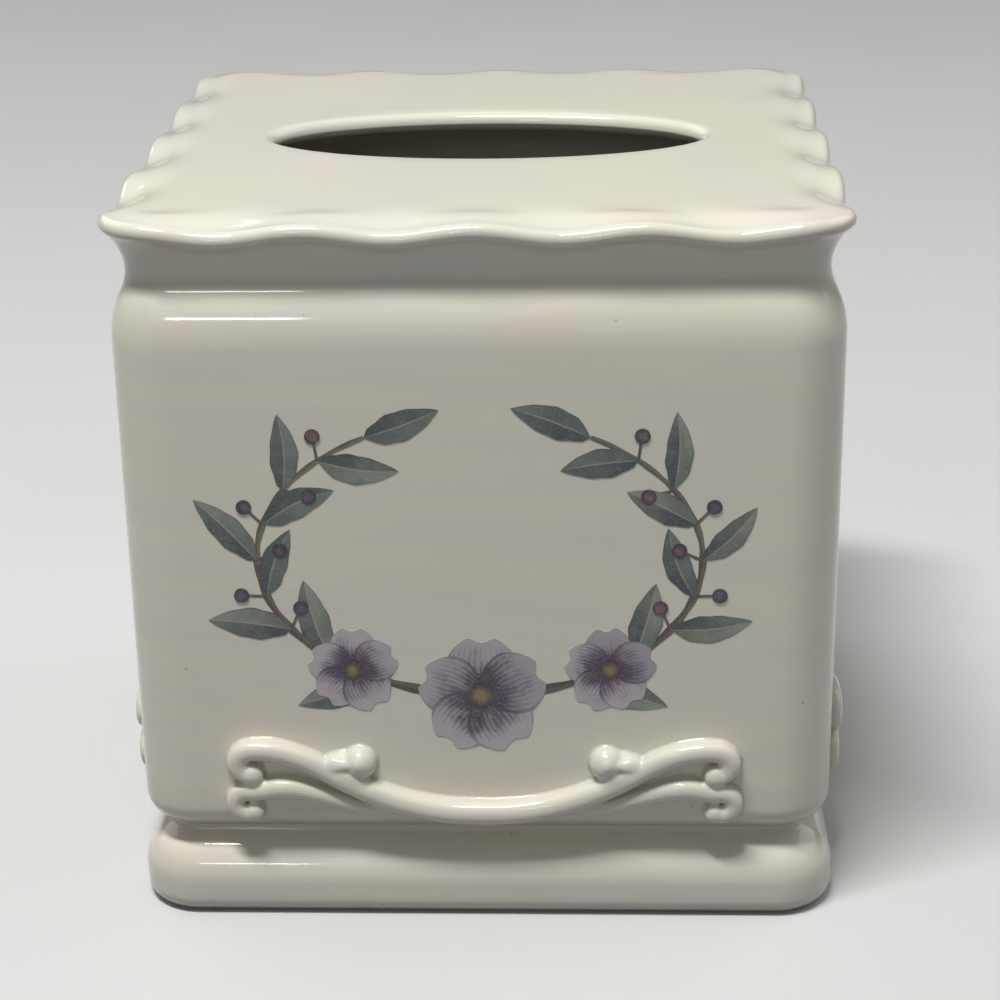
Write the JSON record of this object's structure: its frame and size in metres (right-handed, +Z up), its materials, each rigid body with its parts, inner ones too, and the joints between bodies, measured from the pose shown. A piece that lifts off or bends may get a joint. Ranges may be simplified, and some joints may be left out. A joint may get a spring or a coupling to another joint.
{
  "type": "tissue box cover",
  "caption": "Cube cover for an upright tissue carton: glazed earthenware, open below, oval slot in a ruffle-lipped top, plinth foot, relief scrolls and printed wreaths on the walls.",
  "frame": {"origin": "middle of the cover's square plan, on the surface that it stands on", "axes": "+Z up, -Y out of the front wall, X along the front wall and along the tissue slot, +X to the right as the front is seen"},
  "size_m": [0.1484, 0.1484, 0.1463],
  "materials": {
    "body_glaze": "clear gloss glaze over ivory earthenware, faint pearl lustre, dry unglazed foot",
    "relief_glaze": "the same gloss glaze, thicker round the foot of the relief",
    "fired_print": "grey-green, brown and mauve ceramic transfer, fired on"
  },
  "bodies": {
    "root": {"cover_shell": "body_glaze", "front_scroll": "relief_glaze", "right_scroll": "relief_glaze", "back_scroll": "relief_glaze", "left_scroll": "relief_glaze", "front_transfer": "fired_print", "right_transfer": "fired_print", "back_transfer": "fired_print", "left_transfer": "fired_print"}
  },
  "joints": []
}
